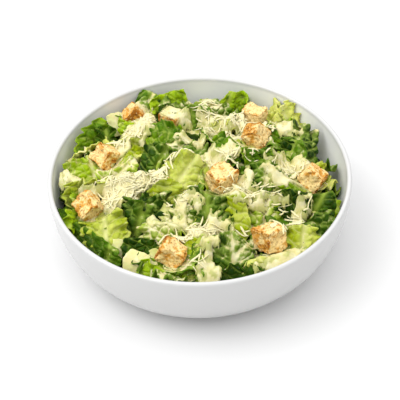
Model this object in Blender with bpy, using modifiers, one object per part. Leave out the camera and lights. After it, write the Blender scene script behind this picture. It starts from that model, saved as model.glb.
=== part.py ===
"""A caesar salad in its round white bowl: bowl, heap of dressed leaves and ten croutons."""

import math
import random

import bmesh
import bpy
from mathutils import Euler, Matrix, Vector

# Driving dimensions, in metres.
RIM_RADIUS = 0.120
BOWL_HEIGHT = 0.072
WALL = 0.0040
BELLY_RADIUS = 0.0735       # where the side turns under, just above the foot
FOOT_HEIGHT = 0.0036
FOOT_OUTER = 0.0660
FOOT_INNER = 0.0580
FOOT_RECESS = 0.0018
FOOT_EDGE = 0.0008          # how far the foot ring's edges slope in
FLOOR_HEIGHT = 0.0080       # inside floor above the table

SIDE_OUT = 0.82             # powers that shape the bowl's side: how fast it runs out, and up
SIDE_UP = 0.88
BOWL_STEPS = 64
SIDE_POINTS = 8
LIP_POINTS = 4

GAP = 0.0003                # air between pieces that rest on each other
HEAP_CLEARANCE = 0.0006     # heap to bowl wall, with room for the bowl's flat facets
HEAP_STEPS = 96
HEAP_RINGS = 18
HEAP_SIDE_POINTS = 5
HEAP_WALL_STEPS = 24        # points up the wall curve that the heap's side is picked from
HEAP_EDGE_BAND = 0.002      # no side point this close below the edge
HEAP_EDGE_HEIGHT = 0.0530   # where the heap meets the wall
HEAP_CROWN = 0.0200         # how much higher its middle is
CRUMPLE = 0.0011            # small unevenness of the leaves all over
CRUMPLE_PITCH = 0.028       # from one crumple to the next
FOLD_DEPTH = 0.30           # how deep a leaf is creased along its rib, as a share of its rise

CROUTON_BEVEL = 0.0018
CROUTON_BEVEL_ANGLE = 40.0  # degrees; an edge sharper than this is rounded
CROUTON_UNEVEN = 0.0008     # how far a corner strays from a true box

WHITE = (0.87, 0.87, 0.86, 1.0)
LEAF_GREEN = (0.30, 0.46, 0.10, 1.0)
TOAST = (0.72, 0.45, 0.19, 1.0)

MM = 0.001
SAME_PLACE = 0.0001         # points closer than this count as one

# Croutons: place of the middle in mm, turns about X, Y and Z in degrees, edges in mm.
CROUTONS = [
    ((-55, 80, 61), (-15, -40, 20), (16, 15, 15)),
    ((-22, 66, 69), (-5, 0, -35), (17, 16, 15)),
    ((-76, 26, 65), (5, 40, 40), (15, 17, 16)),
    ((-86, -29, 63), (15, -45, 15), (16, 17, 16)),
    ((-22, -82, 64), (-10, 25, -20), (19, 15, 17)),
    ((47, 40, 71), (5, -35, -25), (15, 17, 17)),
    ((48, 72, 64), (-5, -5, -35), (18, 15, 16)),
    ((17, -16, 76), (0, 0, 42), (19, 18, 17)),
    ((90, -3, 63), (-20, 25, -35), (18, 16, 16)),
    ((51, -70, 65), (-20, 15, 38), (19, 18, 18)),
]

# Leaves that stand out of the heap: middle, length, width and rise in mm, heading in degrees.
TUFTS = [
    ((-26, 103), 30, 22, 14, 20),
    ((-12, 93), 20, 18, 10, 60),
    ((12, 92), 18, 18, 9, 100),
    ((31, 100), 30, 20, 16, -60),
    ((-87, 57), 46, 24, 14, 75),
    ((-33, 19), 50, 32, 8, 100),
    ((-4, 63), 28, 22, 9, 80),
    ((20, 34), 26, 20, 6, 20),
    ((43, 18), 34, 22, 6, 10),
    ((83, 45), 42, 32, 11, 110),
    ((74, 79), 30, 22, 11, 30),
    ((49, -12), 26, 24, 5, 40),
    ((-9, -13), 42, 28, 6, 60),
    ((-45, -31), 46, 24, 7, 10),
    ((-51, -49), 28, 20, 7, -70),
    ((-70, -52), 36, 30, 8, 60),
    ((-90, 9), 34, 26, 8, 60),
    ((-78, -62), 74, 20, 7, -48),
    ((2, -44), 40, 36, 7, -60),
    ((28, -46), 34, 22, 5, -60),
    ((50, -44), 24, 22, 5, 70),
    ((73, -20), 28, 22, 6, 80),
    ((96, -26), 48, 22, 9, 75),
    ((80, -56), 34, 26, 7, 50),
    ((24, -80), 36, 30, 8, 70),
    ((-10, -86), 32, 24, 7, 60),
    ((-36, -90), 26, 18, 6, -10),
    ((2, 5), 24, 20, 3, 140),
    ((-52, 60), 34, 22, 5, 20),
    ((66, 8), 26, 22, 4, 130),
]


def clear_scene():
    for old in list(bpy.data.objects):
        bpy.data.objects.remove(old, do_unlink=True)


def new_collection(name):
    collection = bpy.data.collections.new(name)
    bpy.context.scene.collection.children.link(collection)
    return collection


def material(name, color, roughness):
    made = bpy.data.materials.new(name)
    made.use_nodes = True
    shader = made.node_tree.nodes["Principled BSDF"]
    shader.inputs["Base Color"].default_value = color
    shader.inputs["Roughness"].default_value = roughness
    shader.inputs["Metallic"].default_value = 0.0
    return made


def glazed_white():
    return material("white_glaze", WHITE, 0.25)


def dressed_leaves():
    return material("dressed_leaves", LEAF_GREEN, 0.45)


def toasted_bread():
    return material("toasted_bread", TOAST, 0.85)


def side_curve(foot_radius, rim_radius, low, high, points):
    """Points up the bowl's side: out fast over the belly, then ever steeper to the rim."""
    curve = []
    for step in range(points + 1):
        turn = 0.5 * math.pi * step / points
        out = math.sin(turn) ** SIDE_OUT
        up = 1.0 - max(math.cos(turn), 0.0) ** SIDE_UP
        curve.append((foot_radius + (rim_radius - foot_radius) * out, low + (high - low) * up))
    return curve


def inner_curve(inset, points):
    """The inside wall, from the floor up to where the lip starts to round over."""
    lip = 0.5 * WALL
    foot_radius = BELLY_RADIUS - WALL - inset
    rim_radius = RIM_RADIUS - WALL - inset
    return side_curve(foot_radius, rim_radius, FLOOR_HEIGHT + inset, BOWL_HEIGHT - lip, points)


def lip_arc():
    """Half circle over the top of the wall, from the inside to the outside."""
    lip = 0.5 * WALL
    arc = []
    for step in range(1, LIP_POINTS):
        turn = math.pi * (1.0 - step / LIP_POINTS)
        arc.append((RIM_RADIUS - lip + lip * math.cos(turn), BOWL_HEIGHT - lip + lip * math.sin(turn)))
    return arc


def bowl_profile():
    lip = 0.5 * WALL
    outer = side_curve(BELLY_RADIUS, RIM_RADIUS, FOOT_HEIGHT, BOWL_HEIGHT - lip, SIDE_POINTS)
    foot = [
        (FOOT_OUTER, FOOT_HEIGHT),
        (FOOT_OUTER - FOOT_EDGE, 0.0),
        (FOOT_INNER, 0.0),
        (FOOT_INNER - FOOT_EDGE, FOOT_RECESS),
        (0.0, FOOT_RECESS),
    ]
    return [(0.0, FLOOR_HEIGHT)] + inner_curve(0.0, SIDE_POINTS) + lip_arc() + outer[::-1] + foot


def turned(name, profile, steps, collection, finish):
    """A solid of revolution about Z, from a profile that runs down its outer side."""
    mesh = bpy.data.meshes.new(name)
    edges = [(index, index + 1) for index in range(len(profile) - 1)]
    mesh.from_pydata([(radius, 0.0, height) for radius, height in profile], edges, [])
    piece = bpy.data.objects.new(name, mesh)
    collection.objects.link(piece)
    screw = piece.modifiers.new("turn", "SCREW")
    screw.axis = "Z"
    screw.angle = 2.0 * math.pi
    screw.steps = steps
    screw.render_steps = steps
    screw.use_merge_vertices = True
    screw.merge_threshold = SAME_PLACE
    screw.use_smooth_shade = True
    mesh.materials.append(finish)
    return piece


def crown_height(radius):
    """The heap's even dome, before its leaves: highest in the middle, lowest at the wall."""
    wall_radius = RIM_RADIUS - WALL
    return HEAP_EDGE_HEIGHT + HEAP_CROWN * (1.0 - (radius / wall_radius) ** 2)


def crumple(x, y):
    """Two crossing sets of waves, one bent by the other."""
    turn = 2.0 * math.pi / CRUMPLE_PITCH
    bent = math.sin(turn * x + 2.0 * math.sin(0.4 * turn * y))
    crossing = math.sin(0.9 * turn * y - 1.5 * math.sin(0.5 * turn * x))
    return CRUMPLE * (bent + crossing)


def tuft_rise(x, y):
    """How far the leaves at a point stand above the dome: the highest leaf there counts."""
    rise = 0.0
    for (middle_x, middle_y), length, width, height, heading in TUFTS:
        turn = math.radians(heading)
        off_x = x - middle_x * MM
        off_y = y - middle_y * MM
        along = (off_x * math.cos(turn) + off_y * math.sin(turn)) / (0.5 * length * MM)
        across = (off_y * math.cos(turn) - off_x * math.sin(turn)) / (0.5 * width * MM)
        spread = along * along + across * across
        if spread < 1.0:
            fold = 1.0 - FOLD_DEPTH * math.exp(-((4.0 * across) ** 2))
            rise = max(rise, height * MM * math.sqrt(1.0 - spread) * fold)
    return rise


def heap_profile():
    wall_curve = inner_curve(HEAP_CLEARANCE, HEAP_WALL_STEPS)
    side = [point for point in wall_curve if point[1] < HEAP_EDGE_HEIGHT - HEAP_EDGE_BAND]
    stride = max(1, len(side) // HEAP_SIDE_POINTS)
    side = side[::-1][::stride]
    edge_radius = max(point[0] for point in wall_curve if point[1] < HEAP_EDGE_HEIGHT)
    top = []
    for ring in range(HEAP_RINGS + 1):
        radius = edge_radius * ring / HEAP_RINGS
        top.append((radius, crown_height(radius)))
    return top + side + [(0.0, FLOOR_HEIGHT + HEAP_CLEARANCE)]


def raise_tufts(mesh):
    """Lift the points of the heap's top by the leaves that stand out of it."""
    for vertex in mesh.vertices:
        radius = math.hypot(vertex.co.x, vertex.co.y)
        if abs(vertex.co.z - crown_height(radius)) < SAME_PLACE:
            vertex.co.z += tuft_rise(vertex.co.x, vertex.co.y) + crumple(vertex.co.x, vertex.co.y)


def make_heap(collection, cutters, finish):
    turned_heap = turned("heap_turning", heap_profile(), HEAP_STEPS, collection, finish)
    depsgraph = bpy.context.evaluated_depsgraph_get()
    mesh = bpy.data.meshes.new_from_object(turned_heap.evaluated_get(depsgraph))
    mesh.name = "salad_heap"
    bpy.data.objects.remove(turned_heap, do_unlink=True)
    raise_tufts(mesh)
    heap = bpy.data.objects.new("salad_heap", mesh)
    collection.objects.link(heap)
    cut = heap.modifiers.new("crouton_beds", "BOOLEAN")
    cut.operation = "DIFFERENCE"
    cut.operand_type = "COLLECTION"
    cut.collection = cutters
    cut.solver = "EXACT"
    return heap


def crouton_mesh(name, edges_mm, seed, grow):
    """A cube cut by hand: edges near the given lengths, corners a little out of true."""
    dice = random.Random(seed)
    form = bmesh.new()
    bmesh.ops.create_cube(form, size=1.0)
    for corner in form.verts:
        stray = Vector([dice.uniform(-CROUTON_UNEVEN, CROUTON_UNEVEN) for _ in range(3)])
        sides = Vector([edge * MM + 2.0 * grow for edge in edges_mm])
        corner.co = Matrix.Diagonal(sides) @ corner.co + stray
    bmesh.ops.triangulate(form, faces=form.faces)
    mesh = bpy.data.meshes.new(name)
    form.to_mesh(mesh)
    form.free()
    return mesh


def place_crouton(name, index, grow, collection):
    middle, turns, edges_mm = CROUTONS[index]
    piece = bpy.data.objects.new(name, crouton_mesh(name, edges_mm, index, grow))
    collection.objects.link(piece)
    piece.location = Vector(middle) * MM
    piece.rotation_euler = Euler([math.radians(turn) for turn in turns], "XYZ")
    bevel = piece.modifiers.new("soft_edges", "BEVEL")
    bevel.width = CROUTON_BEVEL
    bevel.segments = 2
    bevel.limit_method = "ANGLE"
    bevel.angle_limit = math.radians(CROUTON_BEVEL_ANGLE)
    return piece


def make_croutons(collection, cutters, finish):
    for index in range(len(CROUTONS)):
        crouton = place_crouton(f"crouton_{index + 1:02d}", index, 0.0, collection)
        crouton.data.materials.append(finish)
        cutter = place_crouton(f"bed_{index + 1:02d}", index, GAP, cutters)
        cutter.hide_render = True
        cutter.display_type = "WIRE"


def make_salad():
    clear_scene()
    parts = new_collection("caesar_salad")
    cutters = new_collection("cutters")
    turned("bowl", bowl_profile(), BOWL_STEPS, parts, glazed_white())
    make_croutons(parts, cutters, toasted_bread())
    make_heap(parts, cutters, dressed_leaves())


make_salad()
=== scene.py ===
import math

import bpy
import numpy as np
from mathutils import Matrix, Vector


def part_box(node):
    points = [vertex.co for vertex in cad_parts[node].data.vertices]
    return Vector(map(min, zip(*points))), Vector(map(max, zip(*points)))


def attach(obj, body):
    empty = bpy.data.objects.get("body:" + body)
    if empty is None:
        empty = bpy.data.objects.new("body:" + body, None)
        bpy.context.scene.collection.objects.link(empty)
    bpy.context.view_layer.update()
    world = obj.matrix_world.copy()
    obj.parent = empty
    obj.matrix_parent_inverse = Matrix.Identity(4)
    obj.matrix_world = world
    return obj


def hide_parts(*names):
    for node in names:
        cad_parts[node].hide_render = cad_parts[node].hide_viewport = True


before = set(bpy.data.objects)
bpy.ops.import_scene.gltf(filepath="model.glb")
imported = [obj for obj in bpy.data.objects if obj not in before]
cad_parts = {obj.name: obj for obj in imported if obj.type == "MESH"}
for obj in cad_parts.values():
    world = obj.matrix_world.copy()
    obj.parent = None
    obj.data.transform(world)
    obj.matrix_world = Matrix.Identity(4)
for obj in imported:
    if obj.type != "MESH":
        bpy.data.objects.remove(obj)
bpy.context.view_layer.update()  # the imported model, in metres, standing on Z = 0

mm = 0.001
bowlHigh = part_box("bowl")[1]
rimRadius = bowlHigh.x / mm  # everything below is worked out in millimetres
bowlHeight = bowlHigh.z / mm


def latticeNoise(points, seed):
    # random numbers at whole-number corners of space, blended between them with a smooth step
    table = np.random.default_rng(seed).random((16, 16, 16)) * 2 - 1
    base = np.floor(points).astype(int)
    part = points - base
    part = part * part * (3 - 2 * part)
    total = np.zeros(points.shape[:-1])
    for corner in range(8):
        step = np.array([corner & 1, corner >> 1 & 1, corner >> 2 & 1])
        share = np.where(step == 1, part, 1 - part).prod(axis=-1)
        cell = (base + step) % 16
        total += share * table[cell[..., 0], cell[..., 1], cell[..., 2]]
    return total


def cloudNoise(points, seed, octaves=3):
    # the same noise at double and double again the pitch, each half as strong
    total = np.zeros(points.shape[:-1])
    for octave in range(octaves):
        total += latticeNoise(points * 2.0 ** octave, seed + octave) * 0.5 ** octave
    return total


def cellDistances(points, seed):
    # one point strayed in each unit cell: how far the nearest and the second nearest of them lie
    size = points.shape[-1]
    stray = np.random.default_rng(seed).random((16,) * size + (size,))
    base = np.floor(points).astype(int)
    near = np.full(points.shape[:-1], 9.0)
    second = near.copy()
    for code in range(3 ** size):
        step = np.array([code // 3 ** axis % 3 - 1 for axis in range(size)])
        cell = base + step
        wrapped = tuple((cell % 16)[..., axis] for axis in range(size))
        gap = np.linalg.norm(cell + stray[wrapped] - points, axis=-1)
        second = np.minimum(second, np.maximum(gap, near))
        near = np.minimum(near, gap)
    return near, second


def smoothStep(low, high, value):
    # from 0 at low to 1 at high along a cubic with flat ends
    share = np.clip((value - low) / (high - low), 0, 1)
    return share * share * (3 - 2 * share)


def turnAbout(axis, degrees):
    # the matrix that turns a point about one axis
    angle = math.radians(degrees)
    c, s = math.cos(angle), math.sin(angle)
    if axis == "x":
        return np.array([[1, 0, 0], [0, c, -s], [0, s, c]])
    if axis == "y":
        return np.array([[c, 0, s], [0, 1, 0], [-s, 0, c]])
    return np.array([[c, -s, 0], [s, c, 0], [0, 0, 1]])


def gridFaces(rows, columns, closed=False):
    # four-sided faces between neighbouring points of a grid stored row by row, closed into a tube or not
    r = np.arange(rows - 1)[:, None]
    c = np.arange(columns if closed else columns - 1)[None, :]
    beside = (c + 1) % columns
    corners = [r * columns + c, r * columns + beside, (r + 1) * columns + beside, (r + 1) * columns + c]
    return np.stack([np.broadcast_to(k, (r.size, c.size)).ravel() for k in corners], axis=1)


def repeatFaces(faces, count, each):
    # the same faces for each of many small parts that have as many points as one another
    return (faces[None] + np.arange(count)[:, None, None] * each).reshape(-1, faces.shape[1])


def unit(vectors):
    # each vector divided by its length
    return vectors / np.maximum(np.linalg.norm(vectors, axis=-1, keepdims=True), 1e-6)


def gridNormals(points):
    # the cross product of the two directions in which the grid runs
    along = np.gradient(points, axis=0)
    across = np.gradient(points, axis=1)
    normal = np.cross(across, along)
    return normal / np.maximum(np.linalg.norm(normal, axis=-1, keepdims=True), 1e-9)


def addObject(name, data):
    # puts a mesh, lamp or camera into the scene
    made = bpy.data.objects.new(name, data)
    bpy.context.scene.collection.objects.link(made)
    return made


def makePiece(name, points, faces, material, attributes=None, stands=()):
    # one mesh from arrays of points in millimetres and of faces, tied to the frame
    mesh = bpy.data.meshes.new(name)
    mesh.vertices.add(len(points))
    mesh.vertices.foreach_set("co", (np.asarray(points) * mm).astype(np.float32).ravel())
    sides = faces.shape[1]
    mesh.loops.add(faces.size)
    mesh.loops.foreach_set("vertex_index", faces.astype(np.int32).ravel())
    mesh.polygons.add(len(faces))
    mesh.polygons.foreach_set("loop_start", np.arange(0, faces.size, sides, dtype=np.int32))
    mesh.update(calc_edges=True)
    mesh.validate()
    for key, values in (attributes or {}).items():
        layer = mesh.attributes.new(key, "FLOAT", "POINT")
        layer.data.foreach_set("value", np.asarray(values, np.float32).ravel())
    mesh.shade_smooth()
    mesh.materials.append(material)
    piece = addObject(name, mesh)
    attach(piece, "root")
    if stands:
        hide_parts(*stands)
    print(name, "made with", len(points), "points and", len(faces) * (sides - 2), "triangles")


def fillIn(tree, node, inputs):
    # each input named is set to the number or colour given, or joined to the output given
    for name, value in inputs.items():
        socket = node.inputs[name]
        if isinstance(value, bpy.types.NodeSocket):
            tree.links.new(value, socket)
        else:
            socket.default_value = (*value, 1) if socket.type == "RGBA" else value
    return node


def addNode(tree, kind, inputs):
    # a new node of a kind, filled in
    return fillIn(tree, tree.nodes.new("ShaderNode" + kind), inputs)


def startMaterial(name, color, roughness):
    # a plain look to build on: colour and roughness only
    material = bpy.data.materials.new(name)
    material.use_nodes = True
    tree = material.node_tree
    shader = fillIn(tree, tree.nodes["Principled BSDF"], {"Base Color": color, "Roughness": roughness})
    return material, tree, shader


def readAttribute(tree, name):
    # a value stored at every point of the mesh
    node = addNode(tree, "Attribute", {})
    node.attribute_name = name
    return node.outputs["Fac"]


def noiseOn(tree, scale, detail=3.0, roughness=0.55):
    # noise of 0 to 1 that stays with the piece
    place = addNode(tree, "TexCoord", {}).outputs["Object"]
    inputs = {"Scale": scale, "Detail": detail, "Roughness": roughness, "Vector": place}
    return addNode(tree, "TexNoise", inputs).outputs["Fac"]


def ramp(tree, source, low, high, first=0.0, last=1.0):
    # a smooth step from first at low to last at high
    inputs = {"From Min": low, "From Max": high, "To Min": first, "To Max": last, "Value": source}
    node = addNode(tree, "MapRange", inputs)
    node.interpolation_type = "SMOOTHSTEP"
    return node.outputs["Result"]


def uneven(tree, source, scale, amount, detail=3.0, roughness=0.55):
    # the source with a fine noise added to it, up and down by the amount
    noise = ramp(tree, noiseOn(tree, scale, detail, roughness), 0.3, 0.7, -amount, amount)
    node = addNode(tree, "Math", {0: source, 1: noise})
    node.operation = "ADD"
    return node.outputs["Value"]


def mixColor(tree, factor, first, second):
    # the colours of such a node are its inputs 6 and 7 and its output 2
    node = addNode(tree, "Mix", {})
    node.data_type = "RGBA"
    return fillIn(tree, node, {"Factor": factor, 6: first, 7: second}).outputs[2]


def addBump(tree, shader, height, distance, strength=1.0):
    # fine relief in the shading only
    node = addNode(tree, "Bump", {"Distance": distance, "Strength": strength, "Height": height})
    tree.links.new(node.outputs["Normal"], shader.inputs["Normal"])


def letLightIn(tree, shader, weight, reach, scale):
    # light goes a little way in, and each colour its own share of the scale
    inputs = {"Subsurface Weight": weight, "Subsurface Radius": reach, "Subsurface Scale": scale}
    fillIn(tree, shader, inputs)


paint = {
    # the outside painted darker as painted shade, the inside painted lighter as painted light
    "glazeOutsideShaded": ((0.58, 0.58, 0.575), (0.6, 0.6, 0.597)),
    "glazeInsideLit": (0.97, 0.97, 0.96),
    "cream": ((0.65, 0.59, 0.26), (0.74, 0.69, 0.41)),
    "creamThin": (0.42, 0.44, 0.12),  # with the leaf showing through
    "crumb": (0.86, 0.64, 0.28),
    "toast": (0.66, 0.32, 0.05),
    "crust": (0.34, 0.12, 0.01),
    # painted shade in the pores and holes
    "poreShade": (0.22, 0.08, 0.014),
    "speck": (0.3, 0.11, 0.014),
    "dust": (0.86, 0.74, 0.42),
    "cheese": ((0.76, 0.69, 0.37), (0.82, 0.76, 0.48)),
    "pepper": ((0.02, 0.015, 0.01), (0.16, 0.1, 0.05)),
    "floor": (0.72, 0.72, 0.72),
}


def whiteGlazeLitAndShaded():
    # a clouded white, painted lighter inside the bowl than outside: painted light inside, painted shade
    # outside
    material, tree, shader = startMaterial("whiteGlazeLitAndShaded", (0.8, 0.8, 0.79), 0.22)
    cloud = noiseOn(tree, 60)
    outside = mixColor(tree, cloud, *paint["glazeOutsideShaded"])
    # painted light: the inside wall lighter than the painted shade of the outside
    tint = mixColor(tree, readAttribute(tree, "inside"), outside, paint["glazeInsideLit"])
    fillIn(tree, shader, {"Base Color": tint, "Roughness": ramp(tree, cloud, 0.3, 0.7, 0.17, 0.27)})
    addBump(tree, shader, noiseOn(tree, 45, 2.0), 0.0002, 0.35)
    return material


def creamTint(tree):
    # two creams in soft clouds
    return mixColor(tree, ramp(tree, noiseOn(tree, 140), 0.35, 0.65), *paint["cream"])


def romaineLeaf(name, deep, bright, vein, film):
    # leaf green by its tone, with painted rim light along the borders of the leaf pieces carried in that
    # tone, paler along its veins, under a thin film and then a thick coat of dressing
    material, tree, shader = startMaterial(name, deep, 0.4)
    tone = uneven(tree, readAttribute(tree, "tone"), 200, 0.09)
    green = mixColor(tree, ramp(tree, tone, 0.0, 1.0), deep, bright)
    veined = mixColor(tree, readAttribute(tree, "veins"), green, vein)
    sauce = uneven(tree, readAttribute(tree, "sauce"), 300, 0.09, 3.0, 0.6)
    filmed = mixColor(tree, ramp(tree, sauce, 0.22, 0.64, 0.0, 0.62), veined, film)
    coated = mixColor(tree, ramp(tree, sauce, 0.55, 0.9, 0.0, 0.97), filmed, creamTint(tree))
    shine = ramp(tree, sauce, 0.1, 0.9, 0.34, 0.24)
    fillIn(tree, shader, {"Base Color": coated, "Roughness": shine, "Specular IOR Level": 0.07})
    letLightIn(tree, shader, 0.15, (0.6, 1.0, 0.15), 0.0012)
    addBump(tree, shader, noiseOn(tree, 700, 2.0), 0.0002, 0.5)
    return material


def creamDressing():
    # cream, and where it lies thin the leaf shows through it
    material, tree, shader = startMaterial("creamDressing", (0.85, 0.8, 0.55), 0.3)
    thin = uneven(tree, readAttribute(tree, "thin"), 380, 0.14, 3.0, 0.6)
    tint = mixColor(tree, ramp(tree, thin, 0.0, 1.1, 0.0, 0.85), creamTint(tree), paint["creamThin"])
    fillIn(tree, shader, {"Base Color": tint, "Specular IOR Level": 0.35})
    letLightIn(tree, shader, 0.2, (1.0, 0.8, 0.4), 0.0015)
    addBump(tree, shader, noiseOn(tree, 400), 0.0006, 0.7)
    return material


def toastedBread():
    # from crumb through toast to crust, painted darker in its pores as painted shade, with dark specks and
    # pale dust on it
    material, tree, shader = startMaterial("toastedBread", (0.8, 0.6, 0.3), 0.85)
    toast = uneven(tree, readAttribute(tree, "toast"), 260, 0.24, 2.5, 0.5)
    pale = mixColor(tree, ramp(tree, toast, 0.1, 0.52), paint["crumb"], paint["toast"])
    brown = mixColor(tree, ramp(tree, toast, 0.46, 0.95), pale, paint["crust"])
    # painted shade: the pores and holes painted darker
    pored = mixColor(tree, readAttribute(tree, "pores"), brown, paint["poreShade"])
    specks = ramp(tree, noiseOn(tree, 620, 1.0, 0.5), 0.58, 0.7, 0.0, 0.65)
    dust = ramp(tree, noiseOn(tree, 870, 1.0, 0.5), 0.6, 0.7, 0.0, 0.5)
    dusted = mixColor(tree, dust, mixColor(tree, specks, pored, paint["speck"]), paint["dust"])
    coat = ramp(tree, readAttribute(tree, "sauce"), 0.35, 0.75)
    coated = mixColor(tree, coat, dusted, creamTint(tree))
    shine = ramp(tree, coat, 0.0, 1.0, 0.85, 0.35)
    fillIn(tree, shader, {"Base Color": coated, "Roughness": shine, "Specular IOR Level": 0.15})
    addBump(tree, shader, noiseOn(tree, 700, 3.0, 0.6), 0.0004, 0.7)
    return material


def hardCheese():
    # two pale yellows
    material, tree, shader = startMaterial("hardCheese", (0.9, 0.84, 0.55), 0.5)
    tint = mixColor(tree, noiseOn(tree, 90), *paint["cheese"])
    fillIn(tree, shader, {"Base Color": tint, "Specular IOR Level": 0.25})
    letLightIn(tree, shader, 0.2, (1.0, 0.8, 0.4), 0.001)
    addBump(tree, shader, noiseOn(tree, 1100, 2.0), 0.0002, 0.6)
    return material


def blackPepper():
    # from black to brown
    material, tree, shader = startMaterial("blackPepper", (0.05, 0.035, 0.02), 0.7)
    fillIn(tree, shader, {"Base Color": mixColor(tree, noiseOn(tree, 800), *paint["pepper"])})
    return material


bowlLook = {
    "wall": 4.0,  # thickness
    "belly": 0.6125,  # belly, foot and recess, as shares of the rim's radius
    "footOuter": 0.55,
    "footInner": 0.4833,
    "footHeight": 3.6,
    "footRecess": 1.8,
    "floor": 8.0,
    "sideOut": 0.82,
    "sideUp": 0.88,
    "around": 180,
}


def sideCurve(lowRadius, highRadius, low, high, points):
    # a quarter turn: radius grows with a power of its sine, height with a power of its cosine
    turn = np.linspace(0, math.pi / 2, points)
    out = np.sin(turn) ** bowlLook["sideOut"]
    up = 1 - np.clip(np.cos(turn), 0, 1) ** bowlLook["sideUp"]
    return np.stack([lowRadius + (highRadius - lowRadius) * out, low + (high - low) * up], axis=1)


def innerWall(points=60):
    # from the edge of the floor up to the lip
    look = bowlLook
    return sideCurve(rimRadius * look["belly"] - look["wall"], rimRadius - look["wall"],
                     look["floor"], bowlHeight - look["wall"] / 2, points)


wallCurve = innerWall(200)


def wallRadius(height):
    # how far out the inside of the wall is at a height
    return np.interp(height, wallCurve[:, 1], wallCurve[:, 0])


def turnAround(profile, around):
    # each point of the profile carried round Z, with one point on the axis at either end
    turn = np.linspace(0, 2 * math.pi, around, endpoint=False)
    x = profile[:, :1] * np.cos(turn)
    y = profile[:, :1] * np.sin(turn)
    z = np.broadcast_to(profile[:, 1:], x.shape)
    points = np.stack([x, y, z], axis=-1).reshape(-1, 3)
    ends = np.array([[0, 0, profile[0, 1]], [0, 0, profile[-1, 1]]])
    ring = np.arange(around)
    nextRing = (ring + 1) % around
    start, bottom = len(points), (len(profile) - 1) * around
    first = np.stack([ring, nextRing, np.full(around, start)], axis=1)
    last = np.stack([bottom + nextRing, bottom + ring, np.full(around, start + 1)], axis=1)
    sides = gridFaces(len(profile), around, closed=True)[:, ::-1]
    faces = np.concatenate([sides[:, [0, 1, 2]], sides[:, [0, 2, 3]], first, last])
    return np.concatenate([points, ends]), faces


def makeBowl():
    # floor, inner wall, lip, outer wall and foot as one outline turned round Z
    look = bowlLook
    lip = look["wall"] / 2
    arc = np.linspace(math.pi, 0, 13)[1:-1]
    lipArc = np.stack([rimRadius - lip + lip * np.cos(arc), bowlHeight - lip + lip * np.sin(arc)], axis=1)
    outer = sideCurve(rimRadius * look["belly"], rimRadius, look["footHeight"], bowlHeight - lip, 60)
    footOuter, footInner = rimRadius * look["footOuter"], rimRadius * look["footInner"]
    foot = np.array([
        (footOuter + 1.0, look["footHeight"] - 0.05), (footOuter, look["footHeight"] - 0.6),
        (footOuter - 0.3, 0.5), (footOuter - 0.8, 0.0), (footInner, 0.0), (footInner - 0.5, 0.4),
        (footInner - 0.8, look["footRecess"]),
    ])
    reach = np.linspace(0.1, 1, 12)[:-1] * (rimRadius * look["belly"] - look["wall"])
    floor = np.stack([reach, np.full(reach.shape, look["floor"])], axis=1)
    profile = np.concatenate([floor, innerWall(), lipArc, outer[::-1], foot])
    points, faces = turnAround(profile, look["around"])
    beyond = np.hypot(points[:, 0], points[:, 1]) - wallRadius(np.minimum(points[:, 2], bowlHeight - lip))
    # where the inside wall is, which takes the painted light; over the top of the lip it fades to the
    # painted shade of the outside
    inside = smoothStep(0.5, 0.1, beyond / look["wall"]) * (points[:, 2] > look["floor"] - 0.5)
    inside *= smoothStep(bowlHeight, bowlHeight - 5, points[:, 2])
    values = {"inside": inside}
    makePiece("saladBowl", points, faces, whiteGlazeLitAndShaded(), values, stands=("bowl",))


makeBowl()


heap = {
    "edge": 57.0,  # height of the leaves at the wall
    "crown": 19.0,  # how much higher they are in the middle
    "coreDrop": 9.0,  # how far the core lies under them
    "coreFall": 10.0,  # how much lower still it is at the wall
    "coreGap": 0.6,  # between the core and the bowl
    "wallGap": 1.2,  # between the leaves and the bowl
}

# middle, turns about X then Y then Z, edges, toast of the sides (+X +Y +Z -X -Y -Z), how deep it is buried
croutonRows = [
    ((-55, 80, 61), (-15, -40, 20), (16, 15, 15), (0.6, 0.3, 0.4, 0.8, 0.8, 0.3), 8),
    ((-22, 66, 69), (-5, 0, -35), (17, 16, 15), (0.7, 0.3, 0.6, 0.6, 0.7, 0.3), 13),
    ((-76, 26, 65), (5, 40, 40), (15, 17, 16), (0.7, 0.3, 0.1, 0.1, 0.5, 0.3), 0),
    ((-86, -29, 63), (15, -45, 15), (16, 17, 16), (0.15, 0.2, 0.15, 0.1, 0.1, 0.3), 0),
    ((-22, -82, 64), (-10, 25, -20), (19, 15, 17), (0.1, 0.3, 0.1, 0.8, 0.3, 0.3), 0),
    ((47, 40, 71), (5, -35, -25), (15, 17, 17), (0.2, 0.6, 0.6, 0.6, 0.2, 0.3), 0),
    ((48, 72, 64), (-5, -5, -35), (18, 15, 16), (0.1, 0.2, 0.1, 0.1, 0.05, 0.3), 4),
    ((17, -16, 76), (0, 0, 42), (19, 18, 17), (0.05, 0.2, 0.05, 0.15, 0.1, 0.3), 0),
    ((90, -3, 63), (-20, 25, -35), (18, 16, 16), (0.6, 0.3, 0.2, 0.1, 0.1, 0.3), 0),
    ((51, -70, 65), (-20, 15, 38), (19, 18, 18), (0.2, 0.2, 0.3, 0.6, 0.1, 0.3), 0),
]
# how much dressing each of them carries
crumbCoat = [-0.5, 0.4, -0.45, -0.2, -0.45, -0.35, -0.35, -0.65, -0.5, -0.55]


clearing = {
    "forward": 3.0,  # how far in front of the crouton's middle it lies
    "below": 6.0,  # how far under that middle the leaves stay
    "slope": 0.95,  # how fast they rise outside it
    "fades": (20, 30),  # between these distances it ends
}


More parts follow.
